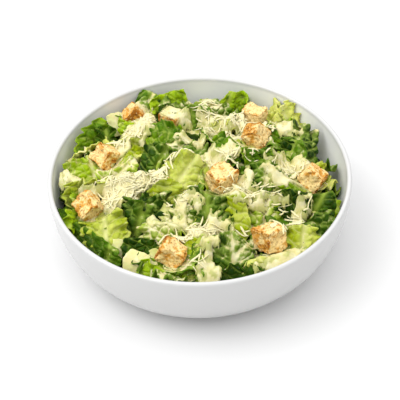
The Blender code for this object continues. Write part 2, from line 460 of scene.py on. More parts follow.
def keepClear(points):
    # near a crouton the leaves stay under a cone that widens upwards, more so towards the front
    look = clearing
    for middle, _, edges, _, bury in croutonRows:
        x, y = points[..., 0] - middle[0], points[..., 1] - middle[1] + look["forward"]
        gap = np.hypot(x, np.where(y > 0, y * 1.5, y * 0.9))
        limit = middle[2] - look["below"] + bury + look["slope"] * np.maximum(gap - 0.42 * max(edges), 0)
        over = np.maximum(points[..., 2] - limit, 0) * (1 - smoothStep(*look["fades"], gap))
        points[..., 2] -= over
    return points


def domeHeight(x, y):
    # highest in the middle, falling with the square of the distance from it
    return heap["edge"] + heap["crown"] * (1 - (x ** 2 + y ** 2) / (rimRadius - 8) ** 2)


def makeCore():
    # the leaves' dome lowered, dented by clouds, and closed underneath along the wall
    gap = heap["coreGap"]
    reach = wallRadius(heap["edge"] - heap["coreDrop"] - heap["coreFall"]) - gap
    share = np.linspace(0.02, 1, 60)
    fall = heap["coreDrop"] + heap["coreFall"] * smoothStep(0.7, 1.0, share)
    top = np.stack([share * reach, domeHeight(share * reach, 0) - fall], axis=1)
    low = innerWall(30)
    low = low[low[:, 1] < top[-1, 1] - 2][::-1] - np.array([gap, -gap])
    profile = np.concatenate([top, low, [(30, bowlLook["floor"] + gap)]])
    points, faces = turnAround(profile, 150)
    lift = cloudNoise(points / 17, 3) * 3.5 + cloudNoise(points / 6, 5) * 1.2
    outward = np.hypot(points[:, 0], points[:, 1]) / reach
    upper = smoothStep(36, 42, points[:, 2]) * (1 - smoothStep(0.9, 1, outward))
    points[:, 2] += lift * upper
    tone = 0.35 + 0.4 * cloudNoise(points / 9, 11)
    sauce = 0.1 + 0.25 * cloudNoise(points / 14, 17)
    values = {"tone": tone, "veins": np.zeros(len(points)), "sauce": sauce}
    greens = (0.01, 0.026, 0.001), (0.07, 0.13, 0.004), (0.2, 0.26, 0.04), (0.24, 0.34, 0.04)
    material = romaineLeaf("shadedRomaine", *greens)
    makePiece("saladCore", points, faces, material, values, stands=("salad_heap",))


makeCore()

leafLook = {
    "leaf": 0.6,  # thickness of the blade
    "ribThick": 2.4,  # what the midrib adds to it
    "ribWide": 2.2,
    "puff": 2.9,  # how far the blisters rise between the veins
    "veinPitch": 9.0,
    "cell": 6.2,  # size of the small blisters
    "ruffle": 3.6,
    "ruffleWave": 11.0,
    "coat": 0.55,  # thickness of the thickest dressing
}

# kind, place of the middle, way it faces (0 front, 90 right), tilt, spin, length, width,
# cup across, bend along, side where the midrib runs (2 = cut away), tone, dressing
leafRows = [
    ("mid", (-25, 95, 58), 8, 66, 8, 27, 35, 40, -10, 2, 0.62, 0.02),
    ("dark", (-12, 92, 57), -10, 48, -30, 20, 24, -60, 0, 0.2, 0.2, 0.42),
    ("mid", (32, 92, 58), -12, 68, -12, 31, 26, 40, 10, -0.6, 0.45, 0.03),
    ("dark", (15, 89, 58), 0, 42, 25, 20, 20, -70, 0, 2, 0.35, 0.6),
    ("light", (76, 74, 59), 20, 52, 18, 26, 30, -45, 15, 0, 0.55, 0.08),
    ("dark", (84, 33, 62), 4, 24, -10, 44, 31, -75, -15, -0.2, -0.2, 0.27),
    ("dark", (74, 49, 63), -10, 30, 40, 22, 20, -70, 0, 2, 0.1, 0.4),
    ("dark", (71, 29, 60), 40, 68, 0, 24, 22, 20, 0, 2, 0, 0.05),
    ("mid", (-90, 50, 60), 48, 66, 4, 25, 40, 30, -12, 2, 0.25, 0.02),
    ("dark", (-78, 55, 61), 25, 55, -5, 22, 20, 60, 0, 0.1, 0.1, 0.05),
    ("mid", (-27, 37, 73), -8, 30, -35, 28, 32, -40, -20, 2, 0.15, 0.08),
    ("dark", (-34, 6, 77), -18, 50, -10, 34, 25, -70, 0, 0.3, 0.08, 0.24),
    ("dark", (-19, 20, 74), 35, 50, 5, 22, 20, -60, 0, 2, 0.25, 0.5),
    ("dark", (-6, 62, 71), 0, 55, 0, 24, 27, -90, 0, 0, 0.35, 0.12),
    ("mid", (25, 20, 77), -12, 32, 62, 28, 18, -60, -20, 2, 0.15, 0.02),
    ("mid", (36, 21, 73), 0, 30, 10, 18, 22, -60, 0, 2, 0.4, 0.72),
    ("mid", (46, 11, 74), 25, 55, 0, 22, 27, 60, 0, 2, 0.08, 0.02),
    ("dark", (41, 8, 67), 0, 62, 0, 20, 22, 40, 0, 2, 0, 0),
    ("dark", (50, -13, 74), 0, 44, 0, 25, 28, -80, -20, 0.1, 0.25, 0.4),
    ("light", (-14, -13, 76), -14, 46, -22, 44, 34, -75, -10, 0, 0.3, 0.18),
    ("light", (-26, -26, 71), 10, 50, 20, 22, 24, -50, 0, 2, 0.15, 0.08),
    ("mid", (-90, 12, 61), 30, 38, 0, 27, 30, -60, 0, 0.3, 0.7, 0.36),
    ("light", (-99, -12, 59), 60, 55, 0, 20, 24, 30, 0, 2, 0.2, 0.1),
    ("mid", (-96, -33, 60), 62, 66, 5, 20, 38, 30, 0, 2, 0.5, 0.25),
    ("dark", (-80, -67, 56), -42, 62, 0, 20, 50, -30, -25, 0.5, 0.4, 0.12),
    ("light", (-74, -59, 67), -18, 44, 24, 36, 38, -70, -15, 0.1, 0.2, 0.12),
    ("dark", (-50, -53, 64), -12, 50, -5, 38, 25, -95, -15, 0.2, 0.08, 0.24),
    ("dark", (-33, -43, 70), 20, 42, 10, 22, 27, -110, -20, 2, 0.12, 0.26),
    ("dark", (-10, -46, 71), 0, 40, -20, 22, 22, -60, 0, 2, 0.25, 0.52),
    ("dark", (7, -46, 75), 6, 46, 6, 40, 36, -70, -10, -0.1, 0.12, 0.28),
    ("light", (28, -51, 70), -18, 46, 24, 38, 18, -60, 0, 2, 0.15, 0.15),
    ("mid", (48, -45, 69), 12, 48, -8, 27, 28, -80, -20, 0.1, 0.4, 0.5),
    ("mid", (74, -22, 67), 5, 42, 0, 22, 28, -110, -15, 2, 0.4, 0.22),
    ("dark", (68, -38, 67), 0, 60, 0, 26, 26, 30, 0, 2, 0.05, 0.1),
    ("dark", (88, -36, 63), -22, 54, -10, 40, 30, -45, -10, 0.1, 0.12, 0.06),
    ("dark", (93, -55, 60), 38, 55, 10, 26, 24, -50, 0, 2, 0.3, 0.36),
    ("light", (76, -73, 59), 14, 46, -10, 29, 29, -70, -10, 0, 0.12, 0.22),
    ("dark", (21, -89, 66), 2, 52, 5, 34, 37, -70, -20, 0.1, 0.15, 0.46),
    ("dark", (26, -99, 57), 4, 75, 0, 20, 40, -30, 0, 2, 0.22, 0.02),
    ("mid", (-6, -91, 66), -8, 52, 0, 36, 19, -60, -15, 0, 0.75, 0.14),
    ("mid", (-25, -95, 60), -20, 60, 10, 26, 20, -50, 0, 2, 0.12, 0.1),
    ("light", (-3, -80, 65), 5, 50, 20, 22, 18, -50, 0, 2, 0.08, 0.06),
    ("mid", (-33, -97, 59), -8, 56, 0, 20, 30, -60, -10, 2, 0.7, 0.3),
    ("mid", (-31, -69, 66), -10, 38, 0, 28, 30, -60, -15, 2, 0.2, 0.48),
    ("light", (50, -93, 59), 20, 50, 0, 22, 40, -40, 0, 2, 0.7, 0.45),
    ("light", (97, 0, 60), -60, 62, 0, 22, 18, 30, 0, 2, 0.2, 0.05),
    ("mid", (-56, 66, 64), 0, 40, 0, 16, 20, -50, 0, 2, 0.75, 0.12),
    ("light", (-53, 21, 69), 0, 50, 0, 18, 20, -50, 0, 2, 0, 0.02),
    ("mid", (-64, 6, 69), -10, 38, -35, 34, 25, -70, 0, 0.2, 0.5, 0.5),
    ("mid", (64, 44, 65), 0, 40, 0, 18, 16, -50, 0, 2, 0.15, 0.02),
    ("dark", (45, 64, 65), 0, 36, 30, 18, 18, -50, 0, 2, 0.5, 0.45),
    ("rib", (-68, 70, 62), 10, 35, 10, 20, 15, -50, 0, 0, 0.5, 0.35),
    ("rib", (-49, 57, 67), -29, 6, 0, 44, 15, -60, -10, 0, 0.6, 0.6),
    ("rib", (-68, 25, 68), -29, 2, 0, 42, 15, -60, -10, 0, 0.6, 0.65),
    ("rib", (-100.5, 4, 60), 40, 26, 60, 24, 19, -60, 0, 0, 0.55, 0.4),
    ("rib", (-46, -89, 61), -10, 42, 75, 25, 20, -80, 0, 0, 0.75, 0.55),
    ("rib", (-35, -83, 60), 0, 30, 0, 16, 12, -60, 0, 0, 0.2, 0.02),
    ("rib", (-63, -72, 60), 0, 40, 0, 16, 13, -70, 0, 0, 0.45, 0.08),
    ("rib", (-27, -44, 69), 20, 30, 40, 18, 12, 30, 0, 0, 0.2, 0.15),
    ("dark", (-44, -75, 62), -5, 50, 0, 20, 28, -50, 0, 2, 0.1, 0.05),
    ("light", (-57, -18, 68), -15, 34, 20, 26, 36, -50, 0, 2, 0.2, 0.62),
]

fillLook = {
    "leaves": 90,
    "inset": 16,  # how far inside the rim they end
    "sink": (5.0, 12.0),
    "ring": 16,  # more of them, lying low along the wall
    "ringInset": 22,
    "ringDrop": 9.0,
    "shares": (0.42, 0.28, 0.18, 0.12),  # of dark, mid, light and rib
    "length": (22, 38),
    "width": (18, 32),
    "tilt": (8, 62),
}
goldenTurn = 2.39996


def fillRows():
    # more leaves under and between the placed ones, drawn by chance on a spiral all over the dome
    rng = np.random.default_rng(2024)
    look = fillLook
    rows = []
    for index in range(look["leaves"] + look["ring"]):
        radius = (rimRadius - look["inset"]) * math.sqrt((index + rng.random()) / look["leaves"])
        turn = index * goldenTurn + rng.uniform(-0.4, 0.4)
        x, y = radius * math.cos(turn) - 2, radius * math.sin(turn)
        z = domeHeight(x, y) - rng.uniform(*look["sink"]) * (1 - 0.45 * (radius / rimRadius) ** 3)
        if index >= look["leaves"]:
            turn, radius = index * 2 * math.pi / look["ring"], rimRadius - look["ringInset"]
            x, y, z = radius * math.cos(turn), radius * math.sin(turn), heap["edge"] - look["ringDrop"]
        kind = rng.choice(["dark", "mid", "light", "rib"], p=look["shares"])
        length, width = rng.uniform(*look["length"]), rng.uniform(*look["width"])
        if kind == "rib":
            length, width = length * 0.8, width * 0.5
        rows.append((str(kind), (x, y, z), rng.uniform(-180, 180), rng.uniform(*look["tilt"]),
                     rng.uniform(-180, 180), length, width, rng.uniform(-80, 40), rng.uniform(-30, 10),
                     rng.choice([2.0, 0.0, 0.3]), rng.uniform(0.05, 0.6), rng.uniform(0.1, 0.6)))
    return rows


# middle of a pool of dressing, how far it reaches along and across, way it lies, how high it is heaped
pools = [
    (-47, 54, 25, 9.5, 58, 2.4), (-60, 30, 10, 6, 40, 1.4), (1, 86, 10, 6, 90, 1.4),
    (20, 62, 22, 8, 0, 1.2), (16, 46, 28, 6, 0, 2), (-4, 33, 12, 7, 10, 1.8), (16, 9, 17, 9, 20, 1.2),
    (-7, 8, 11, 5, 25, 1), (73, 8, 15, 11, -30, 1.8), (35, -13, 7, 10, 0, 1.4),
    (66, -13, 14, 6, 0, 1.6), (-60, -20, 20, 11, 30, 4), (-44, -14, 14, 7, 20, 3.5),
    (36, -31, 21, 9, -15, 1.2), (7, -63, 17, 9, 0, 1.4), (-25, -57, 13, 6, 20, 0.9),
    (4, -85, 10, 6, 80, 1.2), (3, -98, 7, 7, 0, 0.9), (-22, 64, 13, 8, 10, 1.2),
    (58, -88, 18, 8, 25, 1.2), (76, -42, 17, 5, 62, 0.9), (-13, -44, 12, 6, 30, 1),
    (73, 53, 11, 7, 0, 1.6), (-103, 4, 8, 6, 0, 1), (-84, -14, 9, 5, 10, 1.2),
]


def poolReach(x, y, pool):
    # how far out of a pool's oval a place lies, 1 on its outline
    middleX, middleY, long, short, lie, _ = pool
    c, s = math.cos(math.radians(lie)), math.sin(math.radians(lie))
    along, across = (x - middleX) * c + (y - middleY) * s, (y - middleY) * c - (x - middleX) * s
    return np.hypot(along / long, across / short)


def sauceOn(points, normal, level, crease):
    # two sizes of cloud, more where the leaf looks up, in its creases and near the pools, and fine specks
    # that are partly dressing and partly painted glints
    cloud = 0.24 * cloudNoise(points / 13 + 3, 41) + 0.14 * cloudNoise(points / 4.5, 47)
    gap = np.min([poolReach(points[..., 0], points[..., 1], pool) for pool in pools], axis=0)
    near = np.exp(-gap ** 3)
    upward = np.clip(normal[..., 2], -0.3, 1)
    # fine specks of dressing, which also stand in as painted glints
    specks = 0.17 * level ** 0.5 * cloudNoise(points / 1.9, 53, 2)
    crept = level ** 0.5 * (0.7 * crease - 0.1)
    return np.clip(level + cloud + specks + 0.3 * (upward - 0.6) + crept + 0.26 * near, 0, 1.2)


def bendOver(points, axis, degrees, span):
    # a flat sheet wrapped on a round bar: the angle grows evenly along one axis
    if abs(degrees) < 0.5:
        return points
    curve = math.radians(degrees) / span
    flat, height = points[..., axis], points[..., 2]
    out = points.copy()
    out[..., axis] = np.sin(curve * flat) * (1 / curve - height)
    out[..., 2] = 1 / curve - np.cos(curve * flat) * (1 / curve - height)
    return out


def leafOutline(rng, u, w, kind, length, width, seed):
    # a square of u and w rounded towards a circle, its edge let in and out by a cloud
    corner = rng.uniform(0.35, 0.95)
    x = u * np.sqrt(1 - corner * w ** 2 / 2)
    y = w * np.sqrt(1 - corner * u ** 2 / 2)
    turn = np.arctan2(y, x)
    around = np.stack([np.cos(turn) * 1.3, np.sin(turn) * 1.3, np.full(turn.shape, seed * 0.37)], axis=-1)
    outline = 1 + (0.1 if kind == "rib" else 0.17) * cloudNoise(around, 5)
    return x * outline * width / 2, y * outline * length / 2


def leafRelief(rng, flat, side, w, seed):
    # blisters raised between slanting side veins and small cells, and the midrib: a bell across it
    look = leafLook
    fromRib = np.abs(side)
    wobble = 0.35 * latticeNoise(flat / 8, 21)
    run = (flat[..., 1] - 0.75 * fromRib) / look["veinPitch"] + 0.25 * np.sign(side) + wobble + rng.random()
    fromVein = np.abs(run - np.round(run)) * look["veinPitch"]
    near, second = cellDistances(flat[..., :2] / look["cell"] + seed * 1.3, 7)
    fromCell = second - near
    pillow = 1 - np.exp(-(fromVein / 1.6) ** 2)
    raised = (0.5 * pillow + 0.5 * smoothStep(0.0, 0.42, fromCell)) * smoothStep(0.5, 4, fromRib)
    rib = np.exp(-(fromRib / look["ribWide"]) ** 2) * (1 - 0.3 * w)
    lines = np.maximum(0.5 * np.exp(-(fromVein / 0.55) ** 2), 0.22 * (1 - smoothStep(0, 0.14, fromCell)))
    return raised, rib, np.maximum(lines, np.clip(rib, 0, 0.95))


def leafFrill(rng, u, w, x, y):
    # two waves along each natural edge, growing towards it: one edge is full, one weaker, one smooth
    frill = np.zeros(x.shape)
    sides = rng.permutation([1.0, 0.6, 0.0])
    wave = 2 * math.pi / (leafLook["ruffleWave"] * rng.uniform(0.8, 1.3))
    for share, edge, along in zip(sides, (u, -u, w), (y, y, x)):
        ripple = np.sin(along * wave + rng.uniform(0, 6))
        ripple = ripple + 0.5 * np.sin(along * wave * 1.9 + rng.uniform(0, 6))
        frill += share * smoothStep(0.3, 1.0, edge) * ripple
    return frill


def setLeaf(points, row, thick):
    # cupped, bent, turned into place, kept clear of the croutons and inside the wall
    _, place, faces, tilt, spin, length, width, cup, bend = row[:9]
    points = bendOver(bendOver(points, 0, cup, width), 1, bend, length)
    rotation = turnAbout("z", faces) @ turnAbout("x", tilt) @ turnAbout("z", spin)
    turned = keepClear(points @ rotation.T + place)
    radius = np.hypot(turned[..., 0], turned[..., 1])
    limit = wallRadius(np.minimum(turned[..., 2], bowlHeight - 3)) - heap["wallGap"] - thick / 2
    turned[..., :2] *= (np.minimum(radius, limit) / np.maximum(radius, 1e-6))[..., None]
    return turned


def leafSheet(row, seed, rows, columns):
    # the upper and lower skin of one leaf, with its tone and painted rim light, veins and dressing at every
    # point
    kind, length, width = row[0], row[5], row[6]
    ribSide, tone, sauce = row[9:]
    look = leafLook
    rng = np.random.default_rng(seed)
    w, u = np.meshgrid(np.linspace(-1, 1, rows), np.linspace(-1, 1, columns), indexing="ij")
    x, y = leafOutline(rng, u, w, kind, length, width, seed)
    side = x - ribSide * width / 2 - 0.1 * y
    flat = np.stack([x, y, np.full(x.shape, seed * 1.7)], axis=-1)
    raised, rib, lines = leafRelief(rng, flat, side, w, seed)
    frill = leafFrill(rng, u, w, x, y)
    if kind == "rib":
        height = 0.25 * raised + 0.8 * cloudNoise(flat / 9, seed)
        thick = 1.6 + 2.6 * (1 - u ** 2)
        lines = 0.25 * lines
    else:
        height = look["puff"] * raised - 0.7 * rib + look["ruffle"] * frill + 1.6 * cloudNoise(flat / 16, 31)
        thick = look["leaf"] + look["ribThick"] * rib
    turned = setLeaf(np.stack([x, y, height], axis=-1), row, thick)

    normal = gridNormals(turned)
    coat = sauceOn(turned, normal, sauce, 1 - raised)
    under = sauceOn(turned + 40, -normal, sauce * 0.7, 0 * raised)
    upper = turned + normal * (look["coat"] * np.clip(coat, 0, 1))[..., None]
    lower = turned - normal * thick[..., None]
    toneAndRimLight = tone + 0.22 * cloudNoise(flat / 9, 51) + 0.16 * (raised - 0.5)
    toneAndRimLight = toneAndRimLight + 0.3 * np.exp(-(np.abs(side) / 7) ** 2)
    # painted rim light: the border of the leaf painted lighter
    toneAndRimLight += 0.25 * smoothStep(0.82, 1.0, np.maximum(np.abs(u), np.abs(w)))
    return upper, lower, toneAndRimLight, lines, coat, under


def shellFaces(rows, columns):
    # the upper grid, the lower one turned over, and a band that joins their borders
    upper = gridFaces(rows, columns)
    size = rows * columns
    index = np.arange(size).reshape(rows, columns)
    ring = np.concatenate([index[0, :-1], index[:-1, -1], index[-1, :0:-1], index[:0:-1, 0]])
    following = np.roll(ring, -1)
    band = np.stack([ring, ring + size, following + size, following], axis=1)
    return np.concatenate([upper, upper[:, ::-1] + size, band])


def gatherLeaves(rows, seed, gridRows, gridColumns):
    # all the leaves of one kind in one mesh
    faces = shellFaces(gridRows, gridColumns)
    points, allFaces, values = [], [], {"tone": [], "veins": [], "sauce": []}
    for index, row in enumerate(rows):
        upper, lower, toneAndRimLight, lines, coat, under = leafSheet(row, seed + index, gridRows, gridColumns)
        allFaces.append(faces + sum(len(part) for part in points))
        points.append(np.concatenate([upper.reshape(-1, 3), lower.reshape(-1, 3)]))
        values["tone"].append(np.concatenate([toneAndRimLight.ravel(), toneAndRimLight.ravel()]))
        values["veins"].append(np.concatenate([lines.ravel(), lines.ravel()]))
        values["sauce"].append(np.concatenate([coat.ravel(), under.ravel()]))
    merged = {key: np.concatenate(parts) for key, parts in values.items()}
    return np.concatenate(points), np.concatenate(allFaces), merged


# piece of each kind, its deep and bright green, its veins, and the leaf under a film of dressing
romaine = {
    "dark": ("darkRomaine",
             (0.008, 0.032, 0.001), (0.07, 0.165, 0.002), (0.3, 0.4, 0.05), (0.24, 0.34, 0.045)),
    "mid": ("greenRomaine",
            (0.038, 0.12, 0.001), (0.3, 0.44, 0.006), (0.42, 0.5, 0.08), (0.42, 0.47, 0.1)),
    "light": ("heartRomaine",
              (0.28, 0.35, 0.004), (0.62, 0.64, 0.14), (0.68, 0.68, 0.28), (0.55, 0.56, 0.17)),
    "rib": ("romaineRibs",
            (0.42, 0.45, 0.08), (0.7, 0.68, 0.34), (0.56, 0.58, 0.18), (0.6, 0.59, 0.24)),
}
placedGrid = (49, 43)  # points along and across a leaf
belowGrid = (29, 25)
allPoints = []


def makeRomaine():
    # for each kind one piece of placed leaves and one of those below them
    below = fillRows()
    for order, (kind, (name, *greens)) in enumerate(romaine.items()):
        material = romaineLeaf(name, *greens)
        placed = [row for row in leafRows if row[0] == kind]
        under = [row for row in below if row[0] == kind]
        for label, rows, seed, size in (("", placed, 100, placedGrid), ("Below", under, 300, belowGrid)):
            points, faces, values = gatherLeaves(rows, seed + order * 50, *size)
            makePiece(name + label, points, faces, material, values)
            allPoints.append(points)


makeRomaine()


breadLook = {
    "grid": 46,  # points along an edge
    "bulge": 0.92,  # how evenly the grid is spread over a side
    "corner": 1.5,  # how round the edges are
    "swell": 1.5,  # how uneven the sides are
    "lean": 0.09,  # how much wider one end is than the other
    "chips": 3.0,  # how far the edges are broken away
    "poreDepth": 0.6,
    "poreSize": 1.6,  # from one fine pore to the next
    "holeDepth": 1.0,
    "holeSize": 4.2,
}


def cubeGrid(count):
    # six square grids closed into one skin: points with the same place become one
    line = np.linspace(-1, 1, count)
    a, b = [part.ravel() for part in np.meshgrid(line, line, indexing="ij")]
    one = np.ones(a.shape)
    sides = [(one, a, b), (-one, b, a), (b, one, a), (a, -one, b), (a, b, one), (b, a, -one)]
    points = np.concatenate([np.stack(side, axis=1) for side in sides])
    square = gridFaces(count, count)
    faces = np.concatenate([square + index * count * count for index in range(6)])
    keys = np.round(points * count * 4).astype(int)
    _, kept, places = np.unique(keys, axis=0, return_index=True, return_inverse=True)
    return points[kept], places.ravel()[faces]


def roundedBlock(points, edges):
    # a cube of -1 to 1 pulled to its three edges, and each point's way out from the nearest inner point
    look = breadLook
    half = np.array(edges) / 2
    quarter = math.pi / 2
    body = np.sin(points * quarter * look["bulge"]) / math.sin(quarter * look["bulge"]) * half
    core = np.clip(body, -(half - look["corner"]), half - look["corner"])
    out = unit(body - core)
    return core + out * look["corner"], out


def makeCrouton(index, row, material):
    # a rounded block, leaning, its edges broken away, dented by pores of two sizes and toasted
    middle, turns, edges, toasted, _ = row
    look = breadLook
    points, faces = cubeGrid(look["grid"])
    body, out = roundedBlock(points, edges)
    body[:, :2] *= 1 + look["lean"] * math.sin(index * 2.1 + 1) * points[:, 2:]
    spot = body + index * 31.7
    near, _ = cellDistances(spot / look["poreSize"], 61)
    pores = (1 - smoothStep(0.1, 0.4, near)) * smoothStep(-0.7, -0.1, cloudNoise(spot / 5, 63))
    wide, _ = cellDistances(spot / look["holeSize"], 67)
    holes = 1 - smoothStep(0.1, 0.36, wide)
    edge = np.sort(np.abs(points), axis=1)[:, 1] + 0.12 * cloudNoise(spot / 3, 77)
    hard = smoothStep(0.6, 1.0, edge)
    depth = look["poreDepth"] * pores + look["holeDepth"] * holes * (1 - 0.6 * hard)
    depth += look["chips"] * hard * smoothStep(0.05, 0.7, cloudNoise(spot / 5, 75))
    swell = look["swell"] * cloudNoise(spot / 7, 71) + 0.36 * cloudNoise(spot / 1.6, 73)
    body += out * (swell - depth)[:, None]
    level = np.array(toasted, float)
    sideToast = out ** 2 * np.where(out > 0, level[:3], level[3:])
    patch = cloudNoise(spot / 5, 79)
    toast = 0.85 * sideToast.sum(axis=1) + hard * (0.45 + 0.7 * patch) + 0.4 * patch - 0.02
    rotation = turnAbout("z", turns[2]) @ turnAbout("y", turns[1]) @ turnAbout("x", turns[0])
    placed = body @ rotation.T + middle
    normal = out @ rotation.T
    smear = 0.42 * cloudNoise(placed / 6, 83) + 0.5 * normal[:, 2] + crumbCoat[index] - 0.15
    # the pores and holes, where the painted shade goes
    values = {"toast": toast, "pores": np.clip(pores * 0.5 + holes * 0.45, 0, 1), "sauce": smear}
    number = "%02d" % (index + 1)
    node = "crouton_" + number
    makePiece("crouton" + number, placed, faces, material, values, stands=(node,))
    allPoints.append(placed)


def makeCroutons():
    # one piece for each row
    material = toastedBread()
    for index, row in enumerate(croutonRows):
        makeCrouton(index, row, material)


mapPitch = 1.0  # the heap as a map of heights: side of a cell, and cells from the middle
mapHalf = int(rimRadius)


def spread(grid, kind):
    # every cell from its own and its eight neighbours: their highest, or their mean
    padded = np.pad(grid, 1, mode="edge")
    size = grid.shape[0]
    parts = [padded[i:i + size, j:j + size] for i in range(3) for j in range(3)]
    return np.max(parts, axis=0) if kind == "highest" else np.mean(parts, axis=0)


def heightMap():
    # the highest point of leaves and bread over each square millimetre, gaps filled from beside
    size = 2 * mapHalf + 1
    grid = np.full((size, size), heap["edge"] - heap["coreDrop"])
    for points in allPoints:
        cell = np.clip(np.round(points[:, :2] / mapPitch).astype(int) + mapHalf, 0, size - 1)
        np.maximum.at(grid, (cell[:, 0], cell[:, 1]), points[:, 2])
    return spread(grid, "highest")


def settled(grid, times):
    # every cell moved to the mean around it, again and again
    for _ in range(times):
        grid = spread(grid, "mean")
    return grid


leavesOnly = heightMap()
makeCroutons()
surface = heightMap()


def heightAt(grid, x, y):
    # the map read between its four nearest cells
    gx = np.clip(x / mapPitch + mapHalf, 0, grid.shape[0] - 2.001)
    gy = np.clip(y / mapPitch + mapHalf, 0, grid.shape[0] - 2.001)
    ix, iy = gx.astype(int), gy.astype(int)
    fx, fy = gx - ix, gy - iy
    low = grid[ix, iy] * (1 - fx) + grid[ix + 1, iy] * fx
    high = grid[ix, iy + 1] * (1 - fx) + grid[ix + 1, iy + 1] * fx
    return low * (1 - fy) + high * fy


dressing = {
    "warp": 5.0,  # how far the outlines wander
    "settle": 7,  # how smoothly it lies over the leaves
    "tuck": 2.8,  # how far the rim of a pool dips into the leaves
    "under": 1.6,  # from its upper skin to its lower one
    "wallGap": 2.0,  # further from the wall than the leaves
}


def fromBread(x, y):
    # how far a place lies from the middle of the nearest crouton
    middles = np.array([row[0] for row in croutonRows], float)
    return np.hypot(x[..., None] - middles[:, 0], y[..., None] - middles[:, 1]).min(axis=-1)


def poolSkin(x, y):
    # height = settled heap + thickness, which grows from -tuck at a pool's outline to the pool's own
    # height inside, so leaf tops poke through; where the field is over 0 there is a pool
    look = dressing
    place = np.stack([x, y, 0 * x], axis=-1)
    warpX, warpY = (look["warp"] * cloudNoise(place / 9 + 5 * k, 97 + k) for k in range(2))
    reaches = np.array([poolReach(x + warpX, y + warpY, pool) for pool in pools])
    heaped = settled(np.array([pool[-1] for pool in pools])[reaches.argmin(axis=0)], 4)
    field = 1.3 - reaches.min(axis=0) + 0.3 * cloudNoise(place / 4, 93)
    lumps = 0.45 * cloudNoise(place / 6, 94) + 0.2 * cloudNoise(place / 2.5, 95)
    thick = heaped * smoothStep(0.1, 0.7, field) - look["tuck"] * smoothStep(0.4, 0.0, field)
    return settled(leavesOnly, look["settle"]) + thick + lumps, thick, field


def sheetFaces(poured):
    # upper and lower faces of every poured cell, and a wall wherever the cell beside it is open;
    # cells that would meet only at a corner are joined first
    for _ in range(3):
        poured[1:, :-1] |= poured[:-1, :-1] & poured[1:, 1:] & ~poured[:-1, 1:]
        poured[1:, 1:] |= poured[1:, :-1] & poured[:-1, 1:] & ~poured[:-1, :-1]
    size = poured.shape[0] + 1
    i, j = np.nonzero(poured)
    loop = np.stack([i * size + j, (i + 1) * size + j, (i + 1) * size + j + 1, i * size + j + 1], axis=1)
    beside = np.pad(poured, 1)
    isOpen = [~beside[i + 1, j], ~beside[i + 2, j + 1], ~beside[i + 1, j + 2], ~beside[i, j + 1]]
    following = np.roll(loop, -1, axis=1)
    under = size * size
    walls = []
    for k in range(4):
        first, second = following[:, k], loop[:, k]
        walls.append(np.stack([first, second, second + under, first + under], axis=1)[isOpen[k]])
    return loop, np.concatenate([loop, loop[:, ::-1] + under] + walls)


def pourDressing(name, material):
    # a sheet on every square millimetre near a pool, closed from below
    line = (np.arange(leavesOnly.shape[0]) - mapHalf) * mapPitch
    x, y = np.meshgrid(line, line, indexing="ij")
    z, thick, field = poolSkin(x, y)
    limit = rimRadius - bowlLook["wall"] - heap["wallGap"] - dressing["wallGap"]
    corners = (field > 0) & (np.hypot(x, y) < limit)
    loop, faces = sheetFaces(corners[:-1, :-1] & corners[1:, :-1] & corners[:-1, 1:] & corners[1:, 1:])
    upper = np.stack([x, y, z], axis=-1).reshape(-1, 3)
    points = np.concatenate([upper, upper - [0, 0, dressing["under"]]])
    thin = smoothStep(1.5, -0.5, z - leavesOnly + 0.5 * thick).ravel()
    kept, places = np.unique(faces, return_inverse=True)
    values = {"thin": np.concatenate([thin, thin])[kept]}
    makePiece(name, points[kept], places.reshape(faces.shape), material, values)
    allPoints.append(upper[np.unique(loop)])


pourDressing("creamPools", creamDressing())

cheese = {
    "shreds": {"count": 1150, "length": (3.5, 14), "wide": (0.9, 1.8), "thick": 0.55,
               "sides": 6, "ragged": 0.1, "seed": 5},
    "shavings": {"count": 60, "length": (6, 14), "wide": (2.2, 4.2), "thick": 0.7,
                 "sides": 10, "ragged": 0.14, "seed": 9},
    "points": 13,  # along a strip
    "stray": 0.65,  # how far strips lie from the middle of their cluster, as a share of its reach
    "strayMost": 1.3,
    "turned": 0.95,  # how far they turn from the way it lies
    "sink": (-0.8, 0.0),  # how deep they lie in the heap
    "wallGap": 3.0,
    "breadGap": 9.0,  # nearer than this to a crouton's middle few of them stay
    "onBread": 0.12,
}

# middle of a cluster, how far it scatters along and across, way it lies, share of the cheese
cheeseRows = [
    ((1, 89), (12, 6), 20, 5), ((-52, 49), (24, 9), 58, 13),
    ((14, 62), (16, 8), 10, 8), ((30, 64), (14, 8), -20, 8), ((14, 46), (28, 4), 0, 8),
    ((-18, 0), (24, 6), 25, 9), ((-70, -12), (16, 10), 60, 7), ((-57, -19), (22, 11), 30, 10),
    ((20, 6), (12, 9), 0, 6), ((62, 4), (24, 10), -10, 12), ((31, -30), (14, 8), -30, 8),
    ((45, -27), (14, 8), 10, 6), ((6, -64), (14, 7), 0, 9), ((22, -66), (16, 3), 5, 7),
    ((-12, -70), (18, 5), 30, 7), ((-44, -16), (16, 7), 20, 7), ((68, -42), (14, 6), -35, 5),
    ((76, -46), (14, 6), 60, 4), ((-66, -26), (12, 8), 50, 5), ((50, 52), (12, 8), 20, 4),
    ((-16, -40), (14, 8), 60, 4), ((0, -94), (8, 8), 80, 3), ((60, -66), (10, 6), 60, 3),
]


